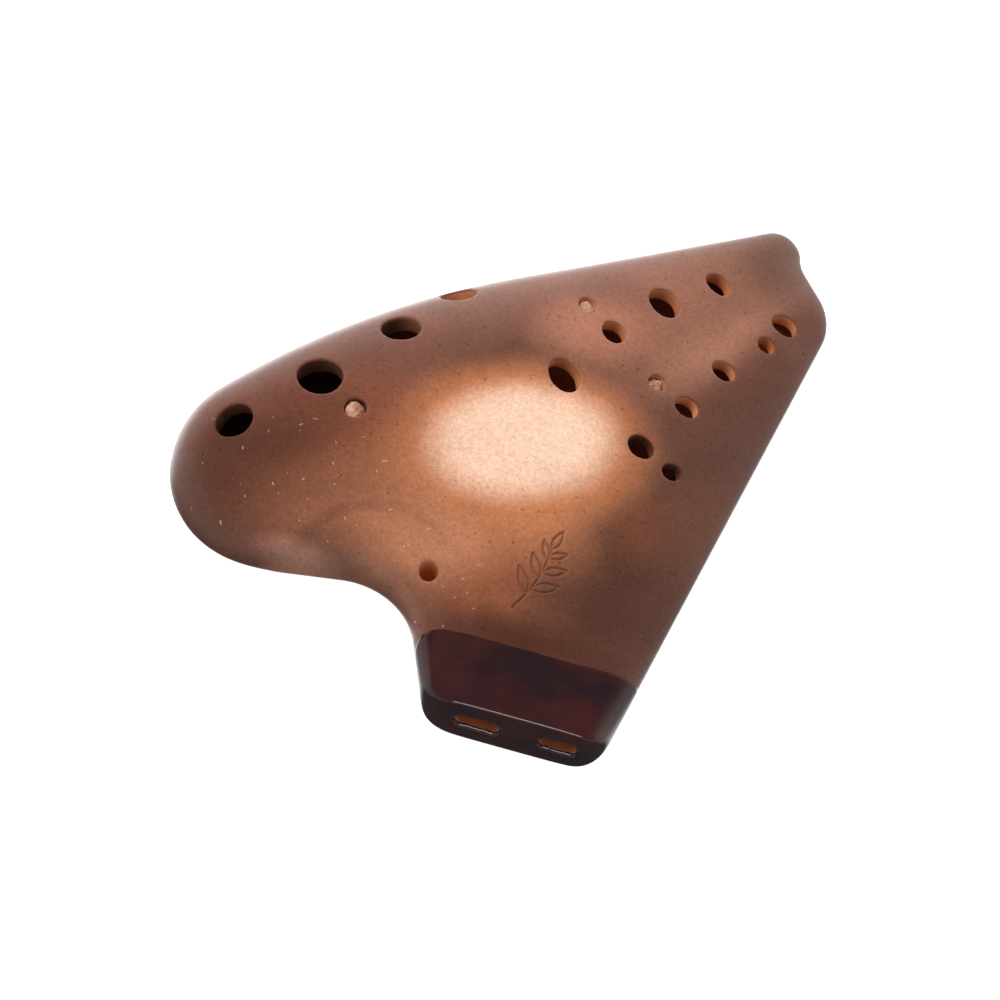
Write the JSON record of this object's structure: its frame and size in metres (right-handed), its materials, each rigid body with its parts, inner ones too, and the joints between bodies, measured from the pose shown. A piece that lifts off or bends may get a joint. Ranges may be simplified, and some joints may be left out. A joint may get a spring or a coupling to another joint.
{
  "type": "double ocarina",
  "caption": "Two-chamber transverse ocarina of smoked fired clay with a glazed twin-windway mouthpiece, finger holes and a lanyard hole.",
  "frame": {"origin": "the middle of the plan, on the plane that the flattened back rests on", "axes": "+Z out of the finger-hole side, -Y out of the mouthpiece's end face, +X from the lobe towards the tail's side; the two half shells meet in a plane parallel to XY"},
  "size_m": [0.1518, 0.1716, 0.0326],
  "materials": {
    "smoked_clay": "burnished fired clay, smoke-darkened towards the edges with a pale bloom in the middle",
    "raw_clay": "unburnished fired clay",
    "dark_glaze": "gloss, translucent plum brown, nearly black"
  },
  "bodies": {
    "root": {"upper_shell": "smoked_clay", "lower_shell": "smoked_clay", "chamber_divider": "raw_clay", "mouthpiece": "dark_glaze", "labium_left": "smoked_clay", "labium_right": "smoked_clay", "clay_plug_lobe": "raw_clay", "clay_plug_tail": "raw_clay", "clay_plug_valley": "raw_clay"}
  },
  "joints": []
}
